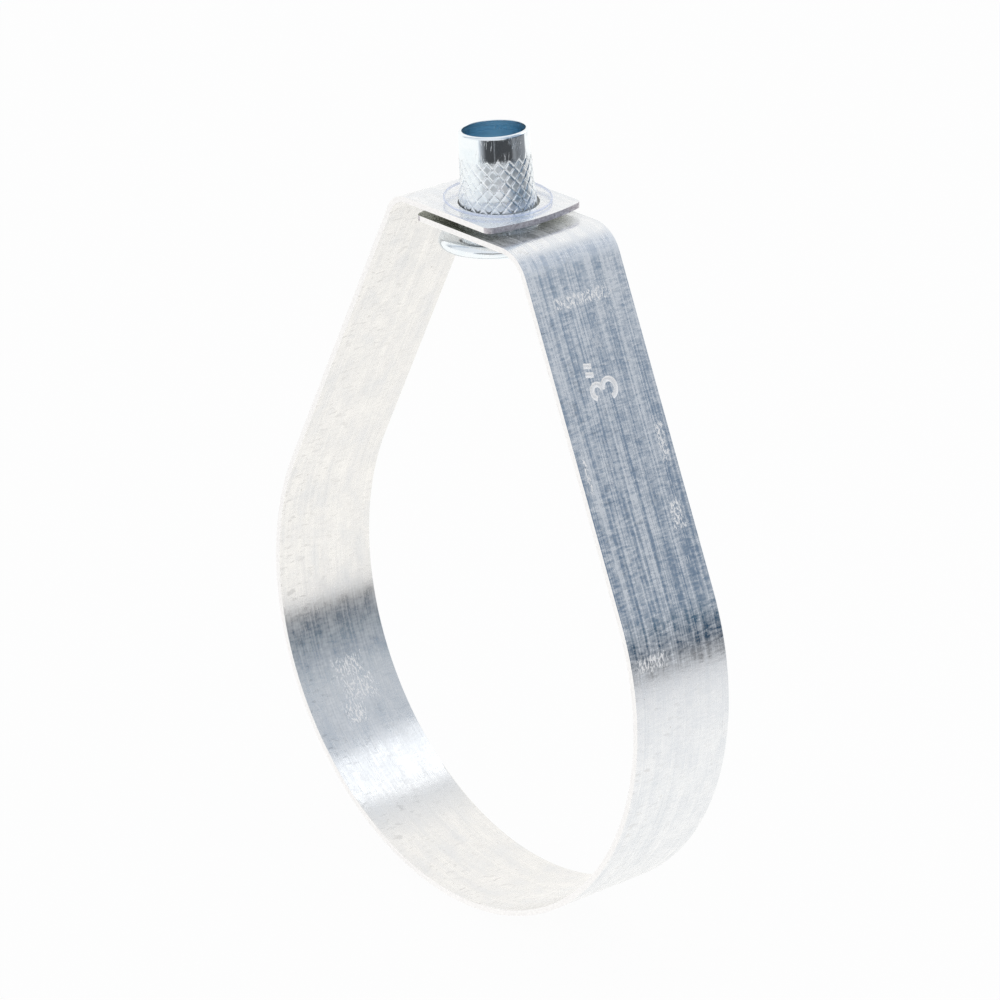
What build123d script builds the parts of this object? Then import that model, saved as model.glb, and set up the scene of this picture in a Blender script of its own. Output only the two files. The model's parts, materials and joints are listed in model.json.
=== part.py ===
from build123d import *
import os
from math import cos, pi, radians, sin, sqrt, tan

# Swivel ring hanger for a three-inch steel pipe on a 3/8-16 rod. One steel strip is folded into a
# teardrop whose two ends lie over each other at the top. A flanged, knurled nut stands loose in the
# holes of these two tabs, its flange below them, and a thin plastic washer over its knurl keeps it in.
# The origin is the centre of the ring, +X crosses it, +Y runs along the pipe and +Z points up.
# All sizes are in millimetres and degrees.

os.makedirs("parts", exist_ok=True)

# Ring: the pipe lies in it with room to spare, and both legs leave it on a tangent
pipe_radius = 44.45
pipe_clearance = 0.55
strip_width = 19.5
strip_thickness = 0.95
leg_lean = 25.5

# Tabs: the right leg ends in the lower tab and the left leg in the upper one, both sloping a little
tab_gap = 1.25
tab_slope = 2.25
tab_margin = 3.75
tab_end_radius = 31.0
tab_corner_radius = 1.2
end_room = 4.5
lower_bend_radius = 5.2
upper_bend_radius = 4.0

# Nut: it leans in its loose holes, towards the bend of the upper tab
hole_offset = 0.6
nut_lean = 6.4
nut_clearance = 0.12
nut_drop = 1.45
thread_minor_radius = 3.97
flange_reach = 3.75
flange_thickness = 2.3
foot_chamfer = 0.6
knurl_radius = 6.2
knurl_depth = 0.15
knurl_count = 20
knurl_climb = 47.5
land_share = 0.8
neck_step = 0.3
neck_run = 1.6
sleeve_taper = 0.12
rim_step = 0.08
rim_round = 0.45
sleeve_length = 16.6
plain_length = 4.2
lip_width = 0.6
mouth_depth = 6.0

# Washer: it grips the knurl and lies on the higher side of the sloping upper tab
washer_reach = 2.5
washer_thickness = 0.45
washer_clearance = 0.08
grip_clearance = 0.03

# Values that follow from the sizes above, the swivel holes first
lean = radians(leg_lean)
slope = tan(radians(tab_slope))
tilt = radians(nut_lean)
hole_x = -hole_offset
knurl_across = knurl_radius / cos(tilt)
stack_height = strip_thickness + tab_gap + strip_thickness / cos(radians(tab_slope))
hole_radius = knurl_across + stack_height / 2 * tan(tilt) + nut_clearance
tab_reach = hole_radius + tab_margin

# The legs lean in from the ring until their tabs have the room that they need
ring_radius = pipe_radius + pipe_clearance
shoulder_reach = hole_offset + tab_reach + end_room
tab_height = (ring_radius - shoulder_reach * cos(lean)) / sin(lean)
upper_height = tab_height + strip_thickness + tab_gap
upper_face = tab_height + stack_height
gap_middle = upper_height - tab_gap / 2
stack_middle = tab_height + stack_height / 2

# The nut hangs below its seat, and the washer lies just clear of the upper tab
seat_height = tab_height - nut_drop
flange_radius = knurl_radius + flange_reach
knurl_height = sleeve_length - plain_length
neck_radius = knurl_radius - neck_step
knurl_top_radius = neck_radius - sleeve_taper
core_radius = knurl_top_radius - 2 * knurl_depth
rim_radius = knurl_top_radius - rim_step
mouth_radius = rim_radius - lip_width
mouth_floor = sleeve_length - mouth_depth
thread_top = mouth_floor - (mouth_radius - thread_minor_radius)
washer_radius = knurl_radius + washer_reach
washer_bottom = upper_face + washer_radius * slope + washer_clearance
washer_top = washer_bottom + washer_thickness
grip_radius = knurl_across + washer_thickness / 2 * tan(tilt) + grip_clearance
neck_height = (washer_top - seat_height) / cos(tilt) + knurl_radius * tan(tilt)

# Half a column and one row lead from a knurl point to the next one along a groove
half_column = pi * neck_radius / knurl_count
knurl_rows = round(knurl_height / (half_column * tan(radians(knurl_climb))))
knurl_step = knurl_height / knurl_rows


def tab_point(height, x):
    """Point at x on the inner line of the tab that has this height beside the hole's axis."""
    return (x, height + (x - hole_x) * slope)


def leg_corner(side, height):
    """Where a leg's inner line meets its tab's: side is 1 on the right and -1 on the left."""
    level = height - hole_x * slope
    x = side * (ring_radius - level * sin(lean)) / (cos(lean) + side * slope * sin(lean))
    return tab_point(height, x)


def nut_axis_x(height):
    """Where the leaning axis of the nut stands at this height."""
    return hole_x - (height - stack_middle) * tan(tilt)


# Band: the strip follows its inner line from the lower tab's end, down the right leg, round the
# ring, up the left leg and along the upper tab
leg_foot = (ring_radius * cos(lean), ring_radius * sin(lean))
tab_plane = Plane(origin=(hole_x, 0, gap_middle), x_dir=(1, 0, slope), z_dir=(-slope, 0, 1))
end_cut = tab_end_radius - sqrt(tab_end_radius**2 - (strip_width / 2) ** 2) + strip_thickness
with BuildPart() as band:
    with BuildSketch(Plane.XZ):
        with BuildLine():
            with BuildLine(mode=Mode.PRIVATE) as fold:
                FilletPolyline(
                    tab_point(tab_height, hole_x - tab_reach),
                    leg_corner(1, tab_height),
                    leg_foot,
                    radius=lower_bend_radius,
                )
                CenterArc((0, 0), ring_radius, leg_lean, -(180 + 2 * leg_lean))
                FilletPolyline(
                    (-leg_foot[0], leg_foot[1]),
                    leg_corner(-1, upper_height),
                    tab_point(upper_height, hole_x + tab_reach),
                    radius=upper_bend_radius,
                )
            add(fold.wires()[0])
            offset(amount=strip_thickness, side=Side.RIGHT, closed=True)
        make_face()
    extrude(amount=strip_width / 2, both=True)
    # Both free ends are sheared to a shallow arc, and their corners are rounded
    for side in (1, -1):
        with BuildSketch(tab_plane):
            with Locations((side * tab_reach, 0)):
                Rectangle(2 * end_cut, 2 * strip_width)
            with Locations((side * (tab_reach - tab_end_radius), 0)):
                Circle(tab_end_radius, mode=Mode.SUBTRACT)
        extrude(amount=side * (tab_gap + strip_thickness), mode=Mode.SUBTRACT)
    fillet(band.edges().filter_by(Axis(tab_plane.origin, tab_plane.z_dir)), tab_corner_radius)
    # The swivel holes are pierced through both tabs in one line
    with BuildSketch(Plane.XY.offset(gap_middle)):
        with Locations((hole_x, 0)):
            Circle(hole_radius)
    extrude(amount=stack_height, both=True, mode=Mode.SUBTRACT)
band.part.label = "band"
export_step(band.part, "parts/band.step")

# The nut stands on its flange's seat, about an axis that leans
nut_origin = (nut_axis_x(seat_height), 0, seat_height)
nut_up = (-sin(tilt), 0, cos(tilt))
nut_across = (cos(tilt), 0, sin(tilt))
seat_plane = Plane(origin=nut_origin, x_dir=nut_across, z_dir=nut_up)
nut_plane = Plane(origin=nut_origin, x_dir=nut_across, z_dir=(0, -1, 0))


def sleeve_radius(height):
    """Radius over the knurl's lands: the sleeve narrows above the washer, and then tapers."""
    above = height - neck_height
    if above <= 0:
        return knurl_radius
    if above <= neck_run:
        return knurl_radius - neck_step * above / neck_run
    return neck_radius - sleeve_taper * (above - neck_run) / (knurl_height - neck_height - neck_run)


def knurl_point(column, row, depth):
    """A point of the knurl, this deep under its lands, counted in columns round and rows up."""
    height = row * knurl_step
    reach = sleeve_radius(height) - depth
    angle = 2 * pi * column / knurl_count
    return seat_plane.from_local_coords(Vector(reach * cos(angle), reach * sin(angle), height))


# Knurl: two sets of crossing helical grooves leave four-sided points with flat lands, half a column
# apart from one row to the next. The first and last rows are cut off at the middle of their lands.
facets = []
ends = []
for row in range(knurl_rows + 1):
    rim = []
    for turn in range(knurl_count):
        column = turn + (row + 1) % 2 / 2
        middle = knurl_point(column, row, 0)
        for side in (-1, 1):
            root = knurl_point(column + side / 2, row, knurl_depth)
            land = knurl_point(column + side * land_share / 2, row, 0)
            rim += [root, land, middle] if side < 0 else [land]
            for climb in (-1, 1):
                if 0 <= row + climb <= knurl_rows:
                    far_root = knurl_point(column, row + climb, knurl_depth)
                    far_land = knurl_point(column, row + climb * land_share, 0)
                    facets.append((middle, land, far_land))
                    facets.append((land, root, far_root))
                    facets.append((land, far_root, far_land))
    if row in (0, knurl_rows):
        core_circle = Wire.make_circle(core_radius, seat_plane.offset(row * knurl_step))
        ends.append(Face(Wire.make_polygon(rim), [core_circle]))
with BuildPart(seat_plane) as knurl_core:
    Cylinder(core_radius, knurl_height, align=(Align.CENTER, Align.CENTER, Align.MIN))
core_wall = knurl_core.faces().filter_by(GeomType.CYLINDER)
knurl_ring = Solid(Shell([Face(Wire.make_polygon(facet)) for facet in facets] + ends + core_wall))

# Insert nut: turned about its own leaning axis, with the knurled ring fused round its core
round_radius = flange_thickness / 2
with BuildPart() as insert_nut:
    with BuildSketch(nut_plane):
        with BuildLine():
            foot = Polyline(
                (thread_minor_radius, foot_chamfer - flange_thickness),
                (thread_minor_radius + foot_chamfer, -flange_thickness),
                (flange_radius - round_radius, -flange_thickness),
            )
            edge = RadiusArc(foot @ 1, (flange_radius - round_radius, 0), -round_radius)
            sleeve = Polyline(
                edge @ 1,
                (core_radius, 0),
                (core_radius, knurl_height),
                (knurl_top_radius, knurl_height),
                (rim_radius, sleeve_length - rim_round),
            )
            rim = RadiusArc(sleeve @ 1, (rim_radius - rim_round, sleeve_length), -rim_round)
            Polyline(
                rim @ 1,
                (mouth_radius, sleeve_length),
                (mouth_radius, mouth_floor),
                (thread_minor_radius, thread_top),
                foot @ 0,
            )
        make_face()
    revolve(axis=Axis(nut_origin, nut_up))
    add(knurl_ring)
insert_nut.part.label = "insert_nut"
export_step(insert_nut.part, "parts/insert_nut.step")

# Retaining washer: a flat ring pushed down over the knurl
with BuildPart() as retaining_washer:
    with BuildSketch(Plane.XY.offset(washer_bottom)):
        with Locations((nut_axis_x(washer_bottom + washer_thickness / 2), 0)):
            Circle(washer_radius)
            Circle(grip_radius, mode=Mode.SUBTRACT)
    extrude(amount=washer_thickness)
retaining_washer.part.label = "retaining_washer"
export_step(retaining_washer.part, "parts/retaining_washer.step")
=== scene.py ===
import bpy
import bmesh
import json
from bisect import bisect_right
from math import acos, ceil, cos, pi, radians, sin, sqrt, tan
from mathutils import Matrix, Vector


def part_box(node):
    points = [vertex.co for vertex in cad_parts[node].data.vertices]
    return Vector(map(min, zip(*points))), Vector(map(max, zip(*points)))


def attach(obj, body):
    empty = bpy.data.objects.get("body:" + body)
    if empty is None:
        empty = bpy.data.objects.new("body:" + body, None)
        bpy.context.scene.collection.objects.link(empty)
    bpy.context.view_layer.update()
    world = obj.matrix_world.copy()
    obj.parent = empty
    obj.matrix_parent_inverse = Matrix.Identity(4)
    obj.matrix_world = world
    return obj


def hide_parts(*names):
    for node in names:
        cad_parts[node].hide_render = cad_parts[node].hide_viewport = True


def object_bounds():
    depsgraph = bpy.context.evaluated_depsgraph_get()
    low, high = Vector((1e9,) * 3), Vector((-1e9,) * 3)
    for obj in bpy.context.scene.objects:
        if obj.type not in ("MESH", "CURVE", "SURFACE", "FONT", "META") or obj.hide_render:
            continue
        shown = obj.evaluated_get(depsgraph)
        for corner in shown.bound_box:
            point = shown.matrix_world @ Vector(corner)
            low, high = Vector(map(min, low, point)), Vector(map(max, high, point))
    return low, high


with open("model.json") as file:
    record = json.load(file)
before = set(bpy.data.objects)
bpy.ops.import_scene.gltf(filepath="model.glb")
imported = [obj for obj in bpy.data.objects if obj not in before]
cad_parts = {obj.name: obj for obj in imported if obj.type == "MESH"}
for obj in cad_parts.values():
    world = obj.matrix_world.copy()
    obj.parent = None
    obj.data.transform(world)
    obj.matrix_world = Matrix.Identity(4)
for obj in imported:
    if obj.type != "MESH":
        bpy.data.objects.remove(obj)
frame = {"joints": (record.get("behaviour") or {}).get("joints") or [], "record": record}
cad_low, cad_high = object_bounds()

# The band: one strip of galvanised steel, folded into a teardrop whose two ends lie over each other
# as tabs. It is sheared from coil, so its faces carry the rolled and scuffed zinc and its edges show
# torn steel. The mesh is laid out along the fold, so that the rolling marks can follow it.
mm = 0.001
mounts = {mount["name"]: mount for mount in frame["record"]["mounts"]}
ring_radius = mounts["pipe_seat"]["dims"]["r_mm"]
strip_width = mounts["pipe_seat"]["dims"]["length_mm"]
strip_thickness = 0.95
leg_lean = radians(25.5)
tab_slope = tan(radians(2.25))
tab_gap = 1.25
tab_end_radius = 31.0
tab_corner_radius = 1.2
swivel_hole_radius = 6.536
tab_reach = swivel_hole_radius + 3.75
lower_bend_radius = 5.2
upper_bend_radius = 4.0
hole_x = frame["joints"][0]["pos_m"][0] / mm
upper_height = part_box("band")[1].z / mm - strip_thickness - tab_reach * tab_slope
tab_height = upper_height - tab_gap - strip_thickness
lower_bend_step = 0.5
upper_bend_step = 0.4
run_step = 1.0
tab_step = 0.8
end_room = 11.0


def tab_point(height, x):
    """A point of a tab's inner line, which has this height beside the swivel hole's axis."""
    return Vector((x, height + (x - hole_x) * tab_slope))


def leg_corner(side, height):
    """Where a leg's inner line would meet its tab's: side is 1 on the right and -1 on the left."""
    level = height - hole_x * tab_slope
    x = side * (ring_radius - level * sin(leg_lean)) / (cos(leg_lean) + side * tab_slope * sin(leg_lean))
    return tab_point(height, x)


def straight(start, end, step):
    """Points from start towards end, with the end itself left out."""
    count = max(1, round((end - start).length / step))
    return [start.lerp(end, i / count) for i in range(count)]


def round_run(centre, start, turn, step):
    """Points on an arc from start, turning left by this angle, or right if it is negative."""
    arm = start - centre
    count = max(4, round(arm.length * abs(turn) / step))
    angles = [turn * i / count for i in range(count)]
    return [centre + Vector((arm.x * cos(a) - arm.y * sin(a), arm.x * sin(a) + arm.y * cos(a)))
            for a in angles]


def bend(start, corner, end, radius, step):
    """The fold at a corner: its points, and the point where the straight run starts again."""
    before = (corner - start).normalized()
    after = (end - corner).normalized()
    turn = acos(before.dot(after))
    reach = radius * tan(turn / 2)
    first = corner - before * reach
    centre = first + Vector((before.y, -before.x)) * radius
    return round_run(centre, first, -turn, step), corner + after * reach


def strip_line():
    """The strip's inner line from the lower tab's end to the upper tab's end, in x and z."""
    start = tab_point(tab_height, hole_x - tab_reach)
    end = tab_point(upper_height, hole_x + tab_reach)
    foot = Vector((ring_radius * cos(leg_lean), ring_radius * sin(leg_lean)))
    left_foot = Vector((-foot.x, foot.y))
    lower_corner = leg_corner(1, tab_height)
    upper_corner = leg_corner(-1, upper_height)
    lower_bend, leg_top = bend(start, lower_corner, foot, lower_bend_radius, lower_bend_step)
    upper_bend, tab_start = bend(left_foot, upper_corner, end, upper_bend_radius, upper_bend_step)
    ring = round_run(Vector((0, 0)), foot, -pi - 2 * leg_lean, run_step)
    right_side = straight(start, lower_bend[0], tab_step) + lower_bend + straight(leg_top, foot, run_step)
    left_side = straight(left_foot, upper_bend[0], run_step) + upper_bend + straight(tab_start, end, tab_step)
    return right_side + ring + left_side + [end], len(right_side)


line, foot_index = strip_line()
headings = [(line[min(i + 1, len(line) - 1)] - line[max(i - 1, 0)]).normalized() for i in range(len(line))]
walked = [0.0]
for here, there in zip(line, line[1:]):
    walked.append(walked[-1] + (there - here).length)
strip_length = walked[-1]
foot_place = walked[foot_index]
corner_y = strip_width / 2 - tab_corner_radius
corner_x = sqrt((tab_end_radius - tab_corner_radius) ** 2 - corner_y**2)


def strip_point(place, y, lift):
    """A point this far along the strip, across it, and out from its inner face."""
    i = min(bisect_right(walked, place), len(line) - 1)
    share = (place - walked[i - 1]) / (walked[i] - walked[i - 1])
    heading = headings[i - 1].lerp(headings[i], share).normalized()
    point = line[i - 1].lerp(line[i], share) + Vector((-heading.y, heading.x)) * lift
    return Vector((point.x, y, point.y)) * mm


def end_inset(y):
    """How far the sheared end of a tab stands back from its tip at this place across the strip."""
    if abs(y) <= corner_y * tab_end_radius / (tab_end_radius - tab_corner_radius):
        return tab_end_radius - sqrt(tab_end_radius**2 - y**2)
    return tab_end_radius - corner_x - sqrt(max(0.0, tab_corner_radius**2 - (abs(y) - corner_y) ** 2))


def settled(place, y):
    """A place along the strip, moved so that the first and last rows lie on the sheared ends."""
    from_end = min(place, strip_length - place)
    if from_end < end_room:
        from_end = end_inset(y) + from_end * (end_room - end_inset(y)) / end_room
    return from_end if place < strip_length / 2 else strip_length - from_end


half_columns = 8
flat_places = [corner_y * i / half_columns for i in range(-half_columns, half_columns + 1)]
edge_places = [corner_y + tab_corner_radius * sin(radians(angle)) for angle in (20, 42, 60, 90)]
columns = [-y for y in reversed(edge_places)] + flat_places + edge_places
shell = bmesh.new()
along_strip = shell.loops.layers.uv.new("along_strip")
sheared_edge = shell.loops.layers.uv.new("sheared_edge")
rows = []
for length in walked:
    row = []
    for y in columns:
        place = settled(length, y)
        inner, outer = (shell.verts.new(strip_point(place, y, lift)) for lift in (0, strip_thickness))
        row.append({"inner": (inner, place, y, 0.0), "outer": (outer, place, y, 1.0)})
    rows.append(row)


def strip_face(corners, edge):
    """A face between (vertex, length along, place across, share of the thickness) corners."""
    face = shell.faces.new([vertex for vertex, place, y, depth in corners])
    for loop, (vertex, place, y, depth) in zip(face.loops, corners):
        loop[along_strip].uv = (place, y)
        loop[sheared_edge].uv = (depth, edge)


for row, after in zip(rows, rows[1:]):
    for j in range(len(columns) - 1):
        strip_face([row[j]["outer"], row[j + 1]["outer"], after[j + 1]["outer"], after[j]["outer"]], 0.0)
        strip_face([after[j]["inner"], after[j + 1]["inner"], row[j + 1]["inner"], row[j]["inner"]], 0.0)
    for here, there in ((after[0], row[0]), (row[-1], after[-1])):
        strip_face([here["inner"], here["outer"], there["outer"], there["inner"]], 1.0)
for row in (rows[0], rows[-1][::-1]):
    for here, there in zip(row, row[1:]):
        strip_face([here["inner"], there["inner"], there["outer"], here["outer"]], 2.0)
bmesh.ops.recalc_face_normals(shell, faces=shell.faces)
band_mesh = bpy.data.meshes.new("folded_band")
shell.to_mesh(band_mesh)
shell.free()


def show(name, data):
    """A new object at the origin that shows this mesh or curve."""
    made = bpy.data.objects.new(name, data)
    bpy.context.scene.collection.objects.link(made)
    return made


def bake(piece):
    """Turns a piece's modifiers, or a curve, into plain mesh."""
    bpy.context.view_layer.update()
    graph = bpy.context.evaluated_depsgraph_get()
    plain = bpy.data.meshes.new_from_object(piece.evaluated_get(graph), preserve_all_data_layers=True,
                                            depsgraph=graph)
    name = piece.name
    bpy.data.objects.remove(piece)
    return show(name, plain)


# The swivel holes are pierced through both tabs in one line, and the trade size of the pipe is
# struck into the right leg with a round-nosed punch. Both are cut out of the band's mesh, and the
# faces that a punch leaves get its own value in the "sheared_edge" map.
def mark_cut(tool, value):
    """Gives a punch the band's two UV maps, so that the faces it cuts can be told from the others."""
    places = tool.loops.layers.uv.new("along_strip")
    kinds = tool.loops.layers.uv.new("sheared_edge")
    for face in tool.faces:
        for loop in face.loops:
            loop[places].uv = (loop.vert.co.x * 1000, loop.vert.co.y * 1000)
            loop[kinds].uv = (0.5, value)


punch_length = 12
punch_height = tab_height + 2
punch_radius = swivel_hole_radius * mm
punch = bmesh.new()
bmesh.ops.create_cone(punch, cap_ends=True, segments=160, radius1=punch_radius, radius2=punch_radius,
                      depth=punch_length * mm,
                      matrix=Matrix.Translation(Vector((hole_x, 0, punch_height)) * mm))
mark_cut(punch, 1.0)
hole_mesh = bpy.data.meshes.new("hole_punch")
punch.to_mesh(hole_mesh)
punch.free()
hole_punch = show("hole_punch", hole_mesh)
stroke_radius = 0.6
stroke_depth = 0.22
size_up_leg = 36.5
size_across = -1.0


def bowl(middle_x, middle_y, wide, high, first, last):
    """Points of one bowl of the numeral: an arc of an ellipse between two angles in degrees."""
    steps = round(abs(last - first) / 15)
    angles = [radians(first + (last - first) * i / steps) for i in range(steps + 1)]
    return [(middle_x + wide * cos(angle), middle_y + high * sin(angle)) for angle in angles]


upper_bowl = bowl(-0.75, 0.97, 1.12, 1.09, 165, -90)
lower_bowl = bowl(-0.75, -1.45, 1.47, 1.33, 90, -172)
inch_marks = [[(2.25, 2.46), (1.9, 0.87)], [(3.65, 2.4), (3.33, 0.87)]]
up_leg = Vector((-sin(leg_lean), 0, cos(leg_lean)))
out_of_leg = Vector((cos(leg_lean), 0, sin(leg_lean)))
leg_axes = Matrix((up_leg, (0, -1, 0), out_of_leg)).transposed().to_4x4()
stroke_lift = ring_radius + strip_thickness + stroke_radius - stroke_depth
size_place = out_of_leg * stroke_lift + up_leg * size_up_leg
size_place.y = size_across
tools = [hole_punch]
for mark in [upper_bowl, lower_bowl] + inch_marks:
    stroke = bpy.data.curves.new("size_punch", "CURVE")
    stroke.dimensions = "3D"
    stroke.bevel_depth = stroke_radius
    stroke.bevel_resolution = 6
    stroke.use_fill_caps = True
    run = stroke.splines.new("POLY")
    run.points.add(len(mark) - 1)
    for point, (x, y) in zip(run.points, mark):
        point.co = (x, y, 0, 1)
    size_punch = bake(show("size_punch", stroke))
    closed = bmesh.new()
    closed.from_mesh(size_punch.data)
    bmesh.ops.remove_doubles(closed, verts=closed.verts, dist=0.001)
    bmesh.ops.recalc_face_normals(closed, faces=closed.faces)
    mark_cut(closed, 3.0)
    closed.to_mesh(size_punch.data)
    closed.free()
    size_punch.data.transform(Matrix.Scale(mm, 4) @ Matrix.Translation(size_place) @ leg_axes)
    tools.append(size_punch)
folded_band = show("folded_band", band_mesh)
for tool in tools:
    cut = folded_band.modifiers.new(tool.name, "BOOLEAN")
    cut.object = tool
    cut.operation = "DIFFERENCE"
    cut.solver = "EXACT"
folded_band = bake(folded_band)
for tool in tools:
    bpy.data.objects.remove(tool)
edge_round = 0.26
ease = folded_band.modifiers.new("eased edges", "BEVEL")
ease.width = edge_round * mm
ease.segments = 4
ease.limit_method = "ANGLE"
ease.angle_limit = radians(55)
folded_band = bake(folded_band)
folded_band.data.shade_smooth()
folded_band.data.set_sharp_from_angle(angle=radians(32))
flat = folded_band.modifiers.new("flat faces", "WEIGHTED_NORMAL")
flat.keep_sharp = True
folded_band = bake(folded_band)


def add_node(tree, kind, inputs=None, **settings):
    """A new node of a material or a Geometry Nodes tree, with its settings and its inputs' values."""
    made = tree.nodes.new(kind)
    for name, value in settings.items():
        setattr(made, name, value)
    for name, value in (inputs or {}).items():
        if isinstance(value, bpy.types.NodeSocket):
            tree.links.new(value, made.inputs[name])
        else:
            made.inputs[name].default_value = value
    return made


def math(tree, operation, *values):
    """The result of a Math node."""
    return add_node(tree, "ShaderNodeMath", dict(enumerate(values)), operation=operation).outputs[0]


def noise(tree, vector, stretch, detail=3.0, roughness=0.55):
    """A noise whose features are one unit long on each axis, divided by stretch."""
    place = add_node(tree, "ShaderNodeVectorMath", {0: vector, 1: stretch}, operation="MULTIPLY").outputs[0]
    inputs = {"Vector": place, "Scale": 1.0, "Detail": detail, "Roughness": roughness}
    return add_node(tree, "ShaderNodeTexNoise", inputs).outputs[0]


def remap(tree, value, low, high, to_low, to_high):
    """The value, moved from one range to another and held inside it."""
    inputs = {0: value, 1: low, 2: high, 3: to_low, 4: to_high}
    return add_node(tree, "ShaderNodeMapRange", inputs).outputs[0]


def mix_colour(tree, share, first, second):
    """A colour between two colours."""
    return add_node(tree, "ShaderNodeMix", {0: share, 6: first, 7: second}, data_type="RGBA").outputs[2]


def new_material(name):
    """An empty node material, its tree and its Principled shader, linked to the output."""
    material = bpy.data.materials.new(name)
    material.use_nodes = True
    tree = material.node_tree
    tree.nodes.clear()
    shader = add_node(tree, "ShaderNodeBsdfPrincipled")
    add_node(tree, "ShaderNodeOutputMaterial", {"Surface": shader.outputs[0]})
    return material, tree, shader


def new_effect(name, inputs, outputs):
    """An empty shader node group, with the sockets that are named here and their kinds."""
    tree = bpy.data.node_groups.new(name, "ShaderNodeTree")
    for label, kind in inputs.items():
        tree.interface.new_socket(label, in_out="INPUT", socket_type=kind)
    for label in outputs:
        tree.interface.new_socket(label, in_out="OUTPUT", socket_type="NodeSocketFloat")
    return tree, tree.nodes.new("NodeGroupInput").outputs, tree.nodes.new("NodeGroupOutput").inputs


# Handling marks, for the band and the nut: short fine scratches, the cloudy patches that zinc gets
# in store, and small dark specks. The place is given in millimetres, and the scratches run along the
# axis with the smallest stretch.
marks_effect, given, result = new_effect(
    "handling_marks",
    {"Place": "NodeSocketVector", "Stretch": "NodeSocketVector", "Amount": "NodeSocketFloat"},
    ("Scratches", "Clouds", "Specks"))
place = given["Place"]
lines = noise(marks_effect, place, given["Stretch"], 3.0, 0.5)
parted = noise(marks_effect, place, (0.45, 0.45, 0.45), 2.0, 0.5)
lines = math(marks_effect, "ABSOLUTE", math(marks_effect, "SUBTRACT", lines, 0.5))
lines = math(marks_effect, "MULTIPLY", remap(marks_effect, lines, 0.0, 0.02, 1.0, 0.0),
             remap(marks_effect, parted, 0.47, 0.60, 0.0, 1.0))
marks_effect.links.new(math(marks_effect, "MULTIPLY", lines, given["Amount"]), result["Scratches"])
marks_effect.links.new(noise(marks_effect, place, (0.17, 0.30, 0.30), 5.0, 0.62), result["Clouds"])
specks = remap(marks_effect, noise(marks_effect, place, (1.3, 1.7, 1.7), 2.0), 0.69, 0.77, 0.0, 1.0)
marks_effect.links.new(math(marks_effect, "MULTIPLY", specks, given["Amount"]), result["Specks"])

# Rub marks: places where the strip was rubbed bright against other parts. Each is a rectangle with
# broken outlines, and nicks of bare metal show through it.
rub_effect, given, result = new_effect(
    "rub_mark",
    {"Place": "NodeSocketVector", "Middle": "NodeSocketVector", "Half Size": "NodeSocketVector",
     "Face": "NodeSocketFloat"},
    ("Rubbed",))
away = add_node(rub_effect, "ShaderNodeVectorMath", {0: given["Place"], 1: given["Middle"]},
                operation="SUBTRACT").outputs[0]
away = add_node(rub_effect, "ShaderNodeVectorMath", {0: away, 1: given["Half Size"]},
                operation="DIVIDE").outputs[0]
away = add_node(rub_effect, "ShaderNodeSeparateXYZ", {0: away}).outputs
outside = math(rub_effect, "MAXIMUM", math(rub_effect, "ABSOLUTE", away[0]),
               math(rub_effect, "ABSOLUTE", away[1]))
ragged = noise(rub_effect, given["Place"], (1.1, 1.9, 1), 4.0, 0.7)
inside = remap(rub_effect, math(rub_effect, "ADD", outside, math(rub_effect, "MULTIPLY", ragged, 2.2)),
               1.75, 2.35, 1.0, 0.0)
nicks = noise(rub_effect, given["Place"], (1.1, 2.4, 1), 2.0, 0.65)
nicks = remap(rub_effect, nicks, 0.46, 0.56, 0.12, 1.0)
inside = math(rub_effect, "MULTIPLY", inside, nicks)
rub_effect.links.new(math(rub_effect, "MULTIPLY", inside, given["Face"]), result["Rubbed"])

# The galvanised finish reads the band's two maps. One gives millimetres along and across the strip,
# the other the share of the thickness and the kind of face: rolled, sheared, torn or struck.
galvanised, tree, shader = new_material("galvanised_strip")
strip_place = add_node(tree, "ShaderNodeUVMap", uv_map="along_strip").outputs[0]
strip_axes = add_node(tree, "ShaderNodeSeparateXYZ", {0: strip_place}).outputs
along = strip_axes[0]
across = strip_axes[1]
edge_map = add_node(tree, "ShaderNodeUVMap", uv_map="sheared_edge").outputs[0]
edge_axes = add_node(tree, "ShaderNodeSeparateXYZ", {0: edge_map}).outputs
outer = edge_axes[0]
kind = edge_axes[1]
inner = math(tree, "SUBTRACT", 1.0, outer)
is_edge = remap(tree, kind, 0.0, 1.0, 0.0, 1.0)
is_end = remap(tree, kind, 1.0, 2.0, 0.0, 1.0)
is_struck = remap(tree, kind, 2.0, 3.0, 0.0, 1.0)
marks = add_node(tree, "ShaderNodeGroup", node_tree=marks_effect)
tree.links.new(strip_place, marks.inputs["Place"])
marks.inputs["Stretch"].default_value = (0.03, 1.3, 1.0)
marks.inputs["Amount"].default_value = 0.6
lines = noise(tree, strip_place, (0.006, 0.5, 1), 3.0, 0.75)
drawn = noise(tree, strip_place, (0.018, 2.3, 1), 1.0, 0.6)
linen = noise(tree, strip_place, (2.2, 0.5, 1), 1.0, 0.6)
grain = noise(tree, strip_place, (0.9, 1.3, 1), 1.0, 0.6)
wrinkles = noise(tree, strip_place, (1.3, 0.45, 1), 2.0, 0.6)

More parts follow.
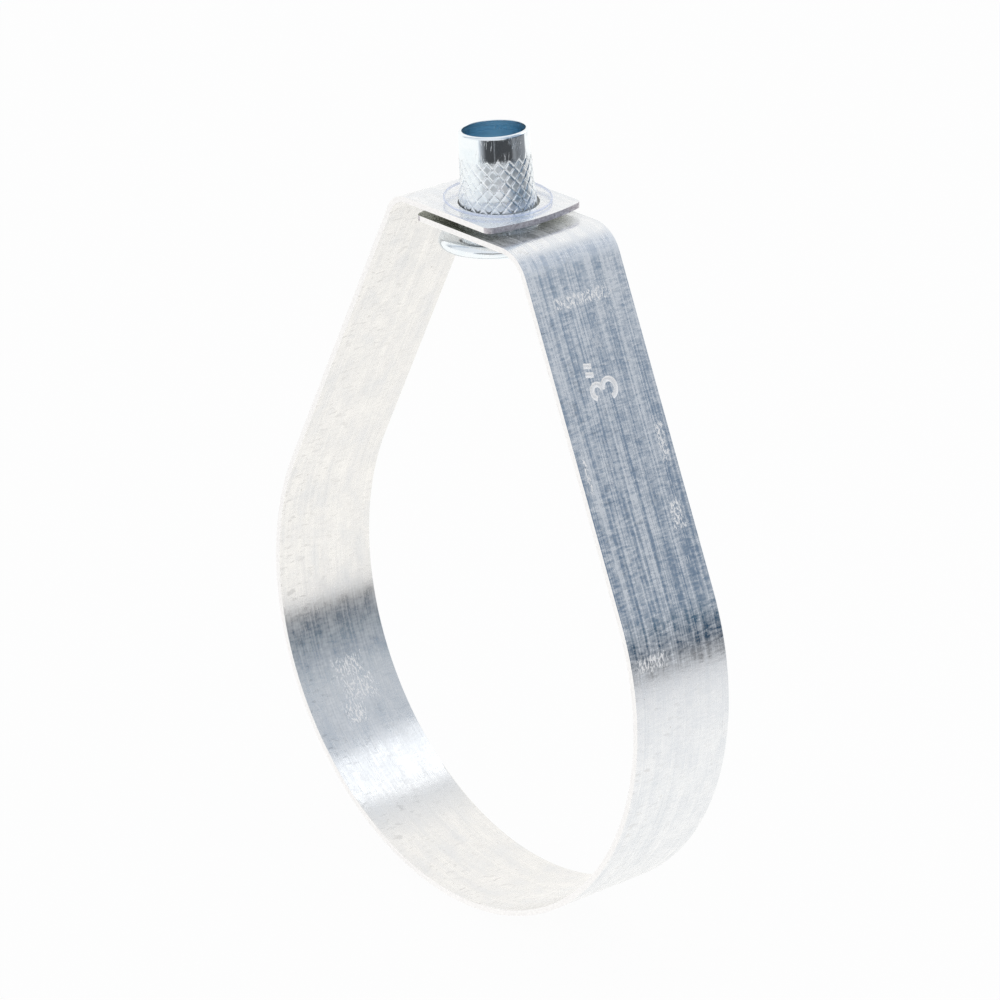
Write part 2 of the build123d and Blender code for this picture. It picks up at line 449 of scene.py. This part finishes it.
# White zinc bloom lies in lengthwise lines, in the rolls' crosswise linen pattern and in patches;
# between them the metal stays bright. It is duller, so it shows wherever bright metal is dark. The
# lines are strongest on the right leg's outside, which slid through the folding tool.
fold_place = (line[0] - leg_corner(1, tab_height)).length
slid = math(tree, "MULTIPLY", outer, remap(tree, along, foot_place - 2, foot_place + 8, 0.65, 0.12))
slid = math(tree, "ADD", slid, 0.22)
slid = math(tree, "MULTIPLY", slid, remap(tree, along, fold_place - 4, fold_place + 3, 0.35, 1.0))
on_leg = math(tree, "MULTIPLY", remap(tree, along, fold_place - 2, fold_place + 3, 0.0, 1.0),
              remap(tree, along, foot_place - 2, foot_place + 12, 1.0, 0.3))
patterned = math(tree, "MULTIPLY_ADD", math(tree, "MULTIPLY", outer, on_leg), 0.7, 0.3)
bloom = 0.5
for texture, where, weight in (
        (lines, slid, 2.6),
        (drawn, slid, 2.8),
        (linen, patterned, 1.6),
        (grain, patterned, 0.7),
        (marks.outputs["Clouds"], 1.0, 1.4)):
    share = math(tree, "MULTIPLY", where, weight)
    bloom = math(tree, "MULTIPLY_ADD", math(tree, "SUBTRACT", texture, 0.5), share, bloom)
bloom = remap(tree, bloom, 0.0, 1.0, 0.0, 1.0)

# The right leg's outside and the ring's inside carry rub marks. Each has its place along and across
# the strip, its half sizes and the face that it is on.
rubbed = marks.outputs["Scratches"]
faint = math(tree, "MULTIPLY", outer, 0.45)
left_foot_place = strip_length - foot_place
for middle, half_size, face in (
        ((foot_place - 23.9, -8.3), (3.9, 0.42), outer),
        ((foot_place - 25.2, 7.8), (3.4, 0.9), outer),
        ((foot_place - 50.5, -0.4), (1.1, 6.0), outer),
        ((foot_place - 47.5, 3.5), (2.0, 2.6), faint),
        ((foot_place - 43.5, 0.5), (2.6, 1.2), faint),
        ((foot_place - 13.5, 6.8), (2.4, 1.3), outer),
        ((foot_place + 7.5, -5.5), (1.2, 3.2), outer),
        ((left_foot_place - 42.5, 0.5), (2.0, 3.2), inner),
        ((left_foot_place - 46.5, 1.5), (2.2, 3.4), inner),
        ((left_foot_place - 50.5, -1.0), (2.0, 2.2), inner)):
    rub = add_node(tree, "ShaderNodeGroup", {"Middle": (*middle, 0.0), "Half Size": (*half_size, 1.0)},
                   node_tree=rub_effect)
    tree.links.new(strip_place, rub.inputs["Place"])
    tree.links.new(face, rub.inputs["Face"])
    rubbed = math(tree, "MAXIMUM", rubbed, rub.outputs["Rubbed"])
matt = math(tree, "MAXIMUM", bloom, math(tree, "MULTIPLY", rubbed, 1.4))

# The zinc is crazed along the lower tab's fold and shines less there. Everywhere it has a fine
# relief of rolled lines, linen pattern, wrinkles and rub marks.
from_fold = math(tree, "ABSOLUTE", math(tree, "SUBTRACT", along, fold_place))
near_fold = remap(tree, from_fold, 2.5, 6.0, 0.15, 0.0)
relief = math(tree, "MULTIPLY_ADD", drawn, 0.3, math(tree, "MULTIPLY", lines, 0.4))
relief = math(tree, "MULTIPLY_ADD", grain, math(tree, "MULTIPLY", patterned, 0.6), relief)
relief = math(tree, "MULTIPLY_ADD", linen, math(tree, "MULTIPLY", patterned, 0.6), relief)
relief = math(tree, "MULTIPLY_ADD", wrinkles, remap(tree, outer, 0.0, 1.0, 0.35, 0.6), relief)
relief = math(tree, "MULTIPLY_ADD", rubbed, 0.5, relief)
face_rough = math(tree, "ADD", math(tree, "MAXIMUM", near_fold, 0.11),
                  math(tree, "MULTIPLY", matt, remap(tree, outer, 0.0, 1.0, 0.12, 0.20)))

# The zinc is a little warmer inside than outside. Small wrinkles get a painted grey shade, strongest towards
# the near edge and weaker in the clouds; the clouds and the bloom are paler, and what was rubbed is almost
# white.
zinc_tone = mix_colour(tree, outer, (0.945, 0.93, 0.905, 1), (0.91, 0.92, 0.935, 1))
wrinkle_shade = math(tree, "MULTIPLY", remap(tree, wrinkles, 0.36, 0.43, 1.0, 0.0),
               remap(tree, outer, 0.0, 1.0, 0.65, 0.45))
wrinkle_shade = math(tree, "MULTIPLY", wrinkle_shade, remap(tree, marks.outputs["Clouds"], 0.45, 0.60, 1.0, 0.25))
wrinkle_shade = math(tree, "MULTIPLY", wrinkle_shade, remap(tree, across, -8.0, 4.0, 1.0, 0.35))
zinc_tone = mix_colour(tree, wrinkle_shade, zinc_tone, (0.54, 0.53, 0.52, 1))
zinc_tone = mix_colour(tree, remap(tree, marks.outputs["Clouds"], 0.52, 0.66, 0.0, 0.6), zinc_tone,
                       (0.92, 0.935, 0.945, 1))
zinc_tone = mix_colour(tree, math(tree, "MULTIPLY", matt, 0.8), zinc_tone,
                       mix_colour(tree, outer, (0.90, 0.895, 0.885, 1), (0.87, 0.90, 0.935, 1)))
zinc_tone = mix_colour(tree, marks.outputs["Specks"], zinc_tone, (0.50, 0.47, 0.43, 1))
zinc_tone = mix_colour(tree, rubbed, zinc_tone, (0.98, 0.975, 0.97, 1))

# The sheared side edges are bright steel, and the cropped ends of the tabs are torn and greyer.
edge_place = add_node(tree, "ShaderNodeCombineXYZ",
                      {0: math(tree, "ADD", along, across), 1: outer}).outputs[0]
torn = noise(tree, edge_place, (1.6, 2.4, 1), 4.0, 0.7)
shear_tone = mix_colour(tree, remap(tree, torn, 0.40, 0.56, 0.0, 1.0), (0.92, 0.91, 0.92, 1),
                        (1.0, 0.995, 1.0, 1))
torn_tone = mix_colour(tree, remap(tree, torn, 0.38, 0.62, 0.0, 1.0), (0.46, 0.43, 0.47, 1),
                       (0.76, 0.74, 0.78, 1))

# The tabs' facing sides, in the gap between them, get a dark painted shade.
below_tab = math(tree, "MULTIPLY", outer, remap(tree, along, 13.5, 18.5, 1.0, 0.0))
under_tab = math(tree, "MULTIPLY", inner,
                 remap(tree, along, strip_length - 20.5, strip_length - 17.5, 0.0, 1.0))
under_tab = math(tree, "MULTIPLY", under_tab,
                 remap(tree, along, strip_length - 5.0, strip_length - 0.5, 1.0, 0.1))
gap_shade = math(tree, "MAXIMUM", below_tab, under_tab)
zinc_tone = mix_colour(tree, gap_shade, zinc_tone, (0.30, 0.32, 0.27, 1))
tone = mix_colour(tree, is_edge, zinc_tone, shear_tone)
tone = mix_colour(tree, is_end, tone, torn_tone)
tone = mix_colour(tree, is_struck, tone, (1.0, 1.0, 1.0, 1))
tree.links.new(tone, shader.inputs["Base Color"])
rough = add_node(tree, "ShaderNodeMix", {0: is_edge, 2: face_rough, 3: 0.40}).outputs[0]
tree.links.new(rough, shader.inputs["Roughness"])
dull = math(tree, "MAXIMUM", math(tree, "MULTIPLY", matt, 0.62), math(tree, "MULTIPLY", rubbed, 0.9))
dull = math(tree, "MULTIPLY", dull, math(tree, "SUBTRACT", 1.0, is_edge))
dull = math(tree, "MAXIMUM", dull, math(tree, "MULTIPLY", is_struck, 0.72))
tree.links.new(math(tree, "SUBTRACT", 1.0, dull), shader.inputs["Metallic"])
torn_relief = math(tree, "MULTIPLY", torn, 0.3)
relief = add_node(tree, "ShaderNodeMix", {0: is_edge, 2: relief, 3: torn_relief}).outputs[0]
bump = add_node(tree, "ShaderNodeBump", {"Strength": 0.8, "Distance": 0.016 * mm, "Height": relief})
tree.links.new(bump.outputs[0], shader.inputs["Normal"])
folded_band.data.materials.clear()
folded_band.data.materials.append(galvanised)
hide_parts("band")
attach(folded_band, "ring")

# The insert nut: a zinc plated sleeve nut of cold formed steel, with a thick round flange, a rolled
# diamond knurl and an inside thread. In use the tabs rest on its flange; here it hangs by its washer
# and leans in their loose holes.
flange_radius = 9.95
flange_thickness = 2.3
foot_chamfer = 0.6
knurl_radius = 6.2
knurl_count = 20
knurl_rows = 12
knurl_height = 12.4
knurl_depth = 0.14
groove_width = 0.12
run_out = 0.25
neck_start = 6.16
neck_run = 1.6
neck_radius = 5.9
knurl_top_radius = 5.78
rim_radius = 5.7
rim_round = 0.45
sleeve_length = 16.6
mouth_radius = 5.1
mouth_floor = 10.6
mouth_edge = 0.1
bright_lip = 0.22
bright_line_depth = 0.9
bright_line_reach = 0.3
bright_line_fade = 0.4
thread_radius = mounts["rod_thread"]["dims"]["r_mm"]
thread_top = mouth_floor - (mouth_radius - thread_radius)
rod_radius = 4.76
thread_pitch = 25.4 / 16
thread_depth = rod_radius - thread_radius
sleeve_rows = 95
mouth_rows = 50
rows_per_thread = 10
segments_per_point = 14


def run_points(start, end, count):
    """Points of a straight run in a turned profile, with the end itself left out."""
    shares = [i / count for i in range(count)]
    return [tuple(a + (b - a) * share for a, b in zip(start, end)) for share in shares]


def arc_points(middle, radius, first, last, steps):
    """Points of an arc in a turned profile, between two angles in degrees."""
    angles = [radians(first + (last - first) * i / steps) for i in range(steps + 1)]
    return [(middle[0] + radius * cos(angle), middle[1] + radius * sin(angle)) for angle in angles]


def sleeve_radius(height):
    """Radius of the sleeve: it narrows just above the washer, and then tapers to the plain band."""
    if height < neck_start:
        return knurl_radius
    if height < neck_start + neck_run:
        return knurl_radius + (neck_radius - knurl_radius) * (height - neck_start) / neck_run
    share = (height - neck_start - neck_run) / (knurl_height - neck_start - neck_run)
    return neck_radius + (knurl_top_radius - neck_radius) * min(1, share)


def turned(name, profile, segments):
    """A solid of revolution about Z, from a closed profile of (radius, height) points in mm."""
    body = bmesh.new()
    loops = []
    for i in range(segments):
        angle = 2 * pi * i / segments
        points = [(r * cos(angle) * mm, r * sin(angle) * mm, z * mm) for r, z in profile]
        loops.append([body.verts.new(point) for point in points])
    for i, loop in enumerate(loops):
        after = loops[(i + 1) % segments]
        for j in range(len(profile)):
            k = (j + 1) % len(profile)
            body.faces.new((loop[j], after[j], after[k], loop[k]))
    bmesh.ops.recalc_face_normals(body, faces=body.faces)
    mesh = bpy.data.meshes.new(name)
    body.to_mesh(mesh)
    body.free()
    mesh.shade_smooth()
    return show(name, mesh)


# The profile runs from the foot of the bore out round the flange, up the sleeve, over the lip and
# down the bore again. Its rows stand close together where the knurl and the thread are formed.
rim = flange_thickness / 2
rim_start = sleeve_length - rim_round
profile = run_points((thread_radius, -flange_thickness), (flange_radius - rim, -flange_thickness), 6)
profile += arc_points((flange_radius - rim, -rim), rim, -90, 90, 16)
profile += run_points((flange_radius - rim, 0.0), (knurl_radius, 0.0), 3)[1:]
profile += [(sleeve_radius(z), z) for z in (knurl_height * i / sleeve_rows for i in range(sleeve_rows + 1))]
profile += run_points((knurl_top_radius, knurl_height), (rim_radius, rim_start), 8)[1:]
profile += arc_points((rim_radius - rim_round, rim_start), rim_round, 0, 90, 8)
profile += arc_points((mouth_radius + mouth_edge, sleeve_length - mouth_edge), mouth_edge, 90, 180, 3)
profile += run_points((mouth_radius, sleeve_length - mouth_edge), (mouth_radius, mouth_floor), mouth_rows)[1:]
wall_rows = ceil((mouth_floor + flange_thickness) / thread_pitch * rows_per_thread)
profile += run_points((thread_radius, mouth_floor), (thread_radius, -flange_thickness), wall_rows)
knurled_nut = turned("knurled_nut", profile, knurl_count * segments_per_point)

# The nut's zinc is bright and bluish, duller where the knurl was rolled, and scratched up the sleeve.
zinc, tree, shader = new_material("zinc_plated_nut")
nut_place = add_node(tree, "ShaderNodeTexCoord").outputs["Object"]
nut_place = add_node(tree, "ShaderNodeVectorMath", {0: nut_place, 1: (1000, 1000, 1000)},
                     operation="MULTIPLY").outputs[0]
nut_place = add_node(tree, "ShaderNodeVectorRotate", {"Vector": nut_place, "Rotation": (0.2, 0.16, 0.3)},
                     rotation_type="EULER_XYZ").outputs[0]
marks = add_node(tree, "ShaderNodeGroup", node_tree=marks_effect)
tree.links.new(nut_place, marks.inputs["Place"])
marks.inputs["Stretch"].default_value = (1.3, 1.3, 0.12)
marks.inputs["Amount"].default_value = 1.0
bore_shade = add_node(tree, "ShaderNodeAttribute", attribute_name="bore").outputs["Fac"]
in_groove = add_node(tree, "ShaderNodeAttribute", attribute_name="groove").outputs["Fac"]
on_knurl = add_node(tree, "ShaderNodeAttribute", attribute_name="knurled").outputs["Fac"]
grain = noise(tree, nut_place, (3.0, 3.0, 3.0), 3.0, 0.65)
plating = mix_colour(tree, remap(tree, marks.outputs["Clouds"], 0.35, 0.65, 0.0, 1.0),
                     (0.86, 0.925, 0.97, 1), (0.94, 0.97, 1.0, 1))
# The bore is painted a darker blue: painted shade inside the recess.
plating = mix_colour(tree, bore_shade, plating, (0.50, 0.74, 0.88, 1))
tree.links.new(plating, shader.inputs["Base Color"])
on_point = math(tree, "MULTIPLY", on_knurl, math(tree, "SUBTRACT", 1.0, in_groove))
pressed_rough = math(tree, "MULTIPLY", on_point, 0.20)
smooth_rough = remap(tree, marks.outputs["Scratches"], 0.0, 1.0, 0.08, 0.42)
rough = math(tree, "MAXIMUM", math(tree, "ADD", smooth_rough, pressed_rough),
             math(tree, "MULTIPLY", bore_shade, 0.32))
tree.links.new(rough, shader.inputs["Roughness"])
shader.inputs["Metallic"].default_value = 1.0
uneven = math(tree, "MULTIPLY", grain, remap(tree, on_knurl, 0.0, 1.0, 0.12, 2.2))
uneven = math(tree, "ADD", uneven, math(tree, "MULTIPLY", marks.outputs["Scratches"], 0.5))
scuffs = add_node(tree, "ShaderNodeBump", {"Strength": 0.7, "Distance": 0.03 * mm, "Height": uneven})
tree.links.new(scuffs.outputs[0], shader.inputs["Normal"])

# The knurl's crossing grooves are pressed into the sleeve and the thread is cut in its bore: both repeat
# round the axis, and the thread fades out in the cones at its two ends. The grooves, the knurled zone and the
# bore are kept as attributes for the material; the bore's is the mask of its painted shade, with a painted
# highlight band just under the lip.
forming = bpy.data.node_groups.new("rolled_knurl_and_thread", "GeometryNodeTree")
forming.interface.new_socket("Geometry", in_out="OUTPUT", socket_type="NodeSocketGeometry")
forming.interface.new_socket("Geometry", in_out="INPUT", socket_type="NodeSocketGeometry")
sizes = {
    "Knurl Count": knurl_count,
    "Row Height": knurl_height / knurl_rows * mm,
    "Groove Depth": knurl_depth * mm,
    "Groove Width": groove_width,
    "Knurl Height": knurl_height * mm,
    "Run Out": run_out * mm,
    "Bore Radius": thread_radius * mm,
    "Thread Depth": thread_depth * mm,
    "Thread Pitch": thread_pitch * mm,
    "Mouth Radius": mouth_radius * mm,
    "Mouth Floor": mouth_floor * mm,
    "Lip": (sleeve_length - mouth_edge - bright_lip) * mm,
    "Foot": -flange_thickness * mm,
    "Foot Chamfer": foot_chamfer * mm,
}
sockets = {name: forming.interface.new_socket(name, in_out="INPUT", socket_type="NodeSocketFloat")
           for name in sizes}
plating_socket = forming.interface.new_socket("Plating", in_out="INPUT", socket_type="NodeSocketMaterial")
given = forming.nodes.new("NodeGroupInput").outputs
position = add_node(forming, "GeometryNodeInputPosition").outputs[0]
x, y, z = add_node(forming, "ShaderNodeSeparateXYZ", {0: position}).outputs
radius = math(forming, "ADD", math(forming, "MULTIPLY", x, x), math(forming, "MULTIPLY", y, y))
radius = math(forming, "SQRT", radius)
turn = math(forming, "DIVIDE", math(forming, "ARCTAN2", y, x), 2 * pi)
column = math(forming, "MULTIPLY", turn, given["Knurl Count"])
climb = math(forming, "DIVIDE", z, math(forming, "MULTIPLY", given["Row Height"], 2.0))
nearest = math(forming, "MINIMUM", math(forming, "PINGPONG", math(forming, "ADD", column, climb), 0.5),
               math(forming, "PINGPONG", math(forming, "SUBTRACT", column, climb), 0.5))
groove = remap(forming, nearest, 0.0, given["Groove Width"], 1.0, 0.0)
above_knurl = math(forming, "SUBTRACT", z, given["Knurl Height"])
knurled = remap(forming, above_knurl, math(forming, "MULTIPLY", given["Run Out"], -1.0), given["Run Out"],
                1.0, 0.0)
knurled = math(forming, "MULTIPLY", knurled, remap(forming, z, 0.0, given["Run Out"], 0.0, 1.0))
groove = math(forming, "MULTIPLY", groove, knurled)
outside = math(forming, "SUBTRACT", radius, math(forming, "MULTIPLY", groove, given["Groove Depth"]))
helix = math(forming, "PINGPONG",
             math(forming, "SUBTRACT", math(forming, "DIVIDE", z, given["Thread Pitch"]), turn), 0.5)
thread = remap(forming, helix, 0.06, 0.44, 0.0, given["Thread Depth"])
bored = math(forming, "ADD", given["Bore Radius"], thread)
cone = math(forming, "SUBTRACT", given["Mouth Radius"], math(forming, "SUBTRACT", given["Mouth Floor"], z))
chamfer = math(forming, "SUBTRACT", math(forming, "ADD", given["Bore Radius"], given["Foot Chamfer"]),
               math(forming, "SUBTRACT", z, given["Foot"]))
inside = math(forming, "MAXIMUM", bored, math(forming, "MAXIMUM", cone, chamfer))
hair = 0.01 * mm
on_thread = math(forming, "LESS_THAN", radius, math(forming, "ADD", given["Bore Radius"], hair))
on_wall = math(forming, "LESS_THAN", radius, math(forming, "ADD", given["Mouth Radius"], hair))
below_lip = math(forming, "LESS_THAN", z, math(forming, "ADD", given["Lip"], hair))
off_foot = math(forming, "GREATER_THAN", z, math(forming, "ADD", given["Foot"], hair))
bore = math(forming, "MULTIPLY", on_wall, math(forming, "MULTIPLY", below_lip, off_foot))
# A band just under the lip keeps only half of the bore's painted shade: a painted highlight.
under_lip = math(forming, "SUBTRACT", given["Lip"], z)
from_line = math(forming, "ABSOLUTE", math(forming, "SUBTRACT", under_lip, bright_line_depth * mm))
painted_highlight_band = remap(forming, from_line, bright_line_reach * mm, bright_line_fade * mm, 0.5, 0.0)
bore = math(forming, "SUBTRACT", bore, math(forming, "MULTIPLY", bore, painted_highlight_band))
formed = add_node(forming, "ShaderNodeMix", {0: on_thread, 2: outside, 3: inside}).outputs[0]
share = math(forming, "DIVIDE", formed, radius)
moved_x = math(forming, "MULTIPLY", x, share)
moved_y = math(forming, "MULTIPLY", y, share)
moved = add_node(forming, "ShaderNodeCombineXYZ", {0: moved_x, 1: moved_y, 2: z}).outputs[0]
shape = given["Geometry"]
for label, value in (("groove", groove), ("knurled", knurled), ("bore", bore)):
    shape = add_node(forming, "GeometryNodeStoreNamedAttribute",
                     {"Geometry": shape, "Name": label, "Value": value}).outputs[0]
placed = add_node(forming, "GeometryNodeSetPosition", {"Geometry": shape, "Position": moved}).outputs[0]
real = add_node(forming, "GeometryNodeRealizeInstances", {"Geometry": placed}).outputs[0]
plated = add_node(forming, "GeometryNodeSetMaterial",
                  {"Geometry": real, "Material": given["Plating"]}).outputs[0]
add_node(forming, "NodeGroupOutput", {0: plated})
press = knurled_nut.modifiers.new("knurl and thread", "NODES")
press.node_group = forming
for name, value in sizes.items():
    press[sockets[name].identifier] = float(value)
press[plating_socket.identifier] = zinc
knurled_nut = bake(knurled_nut)
nut_axis = Vector(mounts["rod_thread"]["axis"])
thread_middle = (thread_top + foot_chamfer - flange_thickness) / 2
nut_seat = Vector(mounts["rod_thread"]["pos_m"]) - nut_axis * thread_middle * mm
nut_axes = Matrix(((nut_axis.z, 0, -nut_axis.x), (0, 1, 0), nut_axis)).transposed().to_4x4()
knurled_nut.data.transform(Matrix.Translation(nut_seat) @ nut_axes)
knurled_nut.data.set_sharp_from_angle(angle=radians(50))
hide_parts("insert_nut")
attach(knurled_nut, "nut")

# The retaining washer: a thin ring of clear plastic, cut from sheet and pushed down over the knurl,
# where it grips and keeps the nut from falling out of the tabs. Its edges are slightly rounded.
washer_low, washer_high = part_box("retaining_washer")
washer_middle = (washer_low + washer_high) / 2
washer_radius = (washer_high.x - washer_low.x) / 2 / mm
washer_thickness = (washer_high.z - washer_low.z) / mm
grip_radius = 6.294
soft = 0.16
half = washer_thickness / 2 - soft
profile = arc_points((washer_radius - soft, -half), soft, -90, 0, 4)
profile += arc_points((washer_radius - soft, half), soft, 0, 90, 4)
profile += arc_points((grip_radius + soft, half), soft, 90, 180, 4)
profile += arc_points((grip_radius + soft, -half), soft, 180, 270, 4)
plastic_ring = turned("plastic_ring", profile, 160)
plastic_ring.data.transform(Matrix.Translation(washer_middle))

# The plastic is clear on its flat faces, and its rim is painted bluer and denser: a painted shade for the
# dark edge line of the clear rim.
clear_plastic, tree, shader = new_material("clear_plastic")
ring_place = add_node(tree, "ShaderNodeTexCoord").outputs["Object"]
off_middle = add_node(tree, "ShaderNodeVectorMath", {0: ring_place, 1: washer_middle},
                      operation="SUBTRACT").outputs[0]
from_axis = add_node(tree, "ShaderNodeVectorMath", {0: off_middle}, operation="LENGTH").outputs["Value"]
at_rim = remap(tree, from_axis, (washer_radius - 0.4) * mm, (washer_radius + 0.05) * mm, 0.0, 1.0)
tree.links.new(mix_colour(tree, at_rim, (0.93, 0.98, 1.0, 1), (0.55, 0.66, 1.0, 1)),
               shader.inputs["Base Color"])
tree.links.new(add_node(tree, "ShaderNodeMix", {0: at_rim, 2: 0.025, 3: 0.55}).outputs[0],
               shader.inputs["Alpha"])
shader.inputs["Roughness"].default_value = 0.15
plastic_ring.data.materials.append(clear_plastic)
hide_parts("retaining_washer")
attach(plastic_ring, "nut")

# The studio: a sheet of white card on a table under a large soft light, with the dark room behind
# it. The camera sees the card and the backdrop as plain white, and the bare metal sees all of it.
floor_level = cad_low.z
card_reach = 3.0
corner_signs = ((-1, -1), (1, -1), (1, 1), (-1, 1))
card_corners = [(x * card_reach, y * card_reach, floor_level) for x, y in corner_signs]
table = bpy.data.meshes.new("white_card")
table.from_pydata(card_corners, [], [(0, 1, 2, 3)])
white_card = show("white_card", table)
paper, tree, shader = new_material("white_card")
shader.inputs["Base Color"].default_value = (0.86, 0.86, 0.86, 1)
shader.inputs["Roughness"].default_value = 0.9
position = add_node(tree, "ShaderNodeNewGeometry").outputs["Position"]
card_axes = add_node(tree, "ShaderNodeSeparateXYZ", {0: position}).outputs
card_x = card_axes[0]
card_y = card_axes[1]

# As the metal mirrors it, the card ends on three sides of its right half. Past its edges lies the
# room, whose grey goes by the bearing in degrees, and the card itself dims towards the right.
right_edge = remap(tree, card_x, 0.48, 0.52, 0.0, 1.0)
back_edge = remap(tree, card_y, 0.28, 0.31, 0.0, 1.0)
front_edge = remap(tree, card_y, -0.38, -0.34, 1.0, 0.0)
past_edge = math(tree, "MAXIMUM", right_edge, math(tree, "MAXIMUM", back_edge, front_edge))
from_window = math(tree, "SUBTRACT", math(tree, "MULTIPLY", card_x, 0.946),
                   math(tree, "MULTIPLY", card_y, 0.326))
seam = 0.03
to_right = math(tree, "MULTIPLY", remap(tree, card_x, -seam, seam, 0.0, 1.0),
                remap(tree, from_window, -seam, seam, 0.0, 1.0))
bearing = math(tree, "ARCTAN2", card_y, card_x)
first_bearing = -90
last_bearing = 80
turned_share = remap(tree, bearing, radians(first_bearing), radians(last_bearing), 0.0, 1.0)
room_ramp = add_node(tree, "ShaderNodeValToRGB", {0: turned_share})
room_tones = ((-90, 0.80), (-80, 0.36), (-68, 0.075), (-43, 0.06), (-41, 0.24), (-38, 0.06),
              (14, 0.07), (20, 0.24), (26, 0.26), (33, 0.17), (62, 0.28))
for index, (angle, grey) in enumerate(room_tones):
    stops = room_ramp.color_ramp.elements
    stop = stops[index] if index < 2 else stops.new(1.0)
    stop.position = (angle - first_bearing) / (last_bearing - first_bearing)
    stop.color = (grey * 0.96, grey, grey * 1.06, 1)
card_white = (1.05, 1.04, 1.015, 1)
card_tone = mix_colour(tree, remap(tree, card_x, 0.06, 0.30, 0.0, 1.0), card_white, (0.75, 0.755, 0.77, 1))
card_tone = mix_colour(tree, to_right, card_white, card_tone)
off_card = math(tree, "MULTIPLY", past_edge, to_right)
mirrored_tone = mix_colour(tree, off_card, card_tone, room_ramp.outputs[0])
seen_white = add_node(tree, "ShaderNodeEmission", {0: (1, 1, 1, 1)})
mirrored = add_node(tree, "ShaderNodeEmission", {0: mirrored_tone})
path = add_node(tree, "ShaderNodeLightPath")
to_camera = math(tree, "MULTIPLY", path.outputs["Is Camera Ray"], 0.95)
first = add_node(tree, "ShaderNodeMixShader", {0: to_camera, 1: shader.outputs[0], 2: seen_white.outputs[0]})
second = add_node(tree, "ShaderNodeMixShader",
                  {0: path.outputs["Is Glossy Ray"], 1: first.outputs[0], 2: mirrored.outputs[0]})
add_node(tree, "ShaderNodeOutputMaterial", {"Surface": second.outputs[0]}).is_active_output = True
white_card.data.materials.append(paper)

# The room that the metal mirrors: dark behind the card, lighter with height, with a bright window on
# one side and a pale wall on the other. Everything else is lit by one even soft light.
world = bpy.data.worlds.new("studio")
bpy.context.scene.world = world
world.use_nodes = True
tree = world.node_tree
tree.nodes.clear()
heading = add_node(tree, "ShaderNodeTexCoord").outputs["Generated"]
height = add_node(tree, "ShaderNodeSeparateXYZ", {0: heading}).outputs[2]
height_ramp = add_node(tree, "ShaderNodeValToRGB", {0: remap(tree, height, -1.0, 1.0, 0.0, 1.0)})
levels = ((-1.0, (0.05, 0.06, 0.075)), (-0.06, (0.02, 0.05, 0.09)), (0.07, (0.02, 0.06, 0.115)),
          (0.156, (0.085, 0.15, 0.215)), (0.26, (0.18, 0.24, 0.33)), (0.34, (0.34, 0.41, 0.49)),
          (0.45, (0.46, 0.52, 0.60)), (0.80, (0.39, 0.46, 0.56)), (0.93, (0.70, 0.75, 0.81)),
          (1.0, (0.90, 0.92, 0.94)))
for index, (level, tone) in enumerate(levels):
    stops = height_ramp.color_ramp.elements
    stop = stops[index] if index < 2 else stops.new(1.0)
    stop.position = (level + 1) / 2
    stop.color = (*tone, 1)
room = height_ramp.outputs[0]
for azimuth, edge, tone in ((140, 0.55, (1.03, 1.02, 1.0, 1)), (-75, 0.45, (0.84, 0.85, 0.87, 1))):
    bearing = (cos(radians(azimuth)), sin(radians(azimuth)), 0)
    toward = add_node(tree, "ShaderNodeVectorMath", {0: heading, 1: bearing}, operation="DOT_PRODUCT")
    room = mix_colour(tree, remap(tree, toward.outputs["Value"], 0.2, edge, 0.0, 1.0), room, tone)
mirrored_room = add_node(tree, "ShaderNodeBackground", {0: room})
soft_light = add_node(tree, "ShaderNodeBackground", {0: (0.80, 0.81, 0.83, 1)})
backdrop = add_node(tree, "ShaderNodeBackground", {0: (1, 1, 1, 1)})
path = add_node(tree, "ShaderNodeLightPath")
first = add_node(tree, "ShaderNodeMixShader",
                 {0: path.outputs["Is Glossy Ray"], 1: soft_light.outputs[0], 2: mirrored_room.outputs[0]})
second = add_node(tree, "ShaderNodeMixShader",
                  {0: path.outputs["Is Camera Ray"], 1: first.outputs[0], 2: backdrop.outputs[0]})
add_node(tree, "ShaderNodeOutputWorld", {0: second.outputs[0]})

# A small soft box stands close by, and puts a highlight on the low inside of the ring.
soft_box = bpy.data.lights.new("soft_box", "AREA")
soft_box.shape = "SQUARE"
soft_box.size = 0.075
soft_box.energy = 0.0152
lit_place = Vector((-0.027, 0.0, -0.036))
box_azimuth = radians(67)
box_elevation = radians(49)
box_distance = 0.25
key_light = bpy.data.objects.new("soft_box", soft_box)
bpy.context.scene.collection.objects.link(key_light)
toward_box = Vector((cos(box_azimuth) * cos(box_elevation), sin(box_azimuth) * cos(box_elevation),
                     sin(box_elevation)))
key_light.location = lit_place + toward_box * box_distance
key_light.rotation_euler = toward_box.to_track_quat("Z", "Y").to_euler()
key_light.visible_camera = False

# The camera: a long lens, a little above the hanger, looking at it from the right front.
view_azimuth = radians(49.327)
view_elevation = radians(24.301)
view_roll = radians(0.758)
view_distance = 869.12 * mm
view_target = Vector((0.649, 0.0, 23.855)) * mm
lens = bpy.data.cameras.new("camera")
lens.lens = 192.57
lens.sensor_width = 36.0
lens.clip_start = 0.01
camera = bpy.data.objects.new("camera", lens)
bpy.context.scene.collection.objects.link(camera)
toward = Vector((sin(view_azimuth) * cos(view_elevation), -cos(view_azimuth) * cos(view_elevation),
                 sin(view_elevation)))
camera.location = view_target + toward * view_distance
roll = Matrix.Rotation(view_roll, 3, "Z").to_quaternion()
camera.rotation_euler = (toward.to_track_quat("Z", "Y") @ roll).to_euler()
bpy.context.scene.camera = camera
bpy.context.scene.view_settings.view_transform = "Standard"
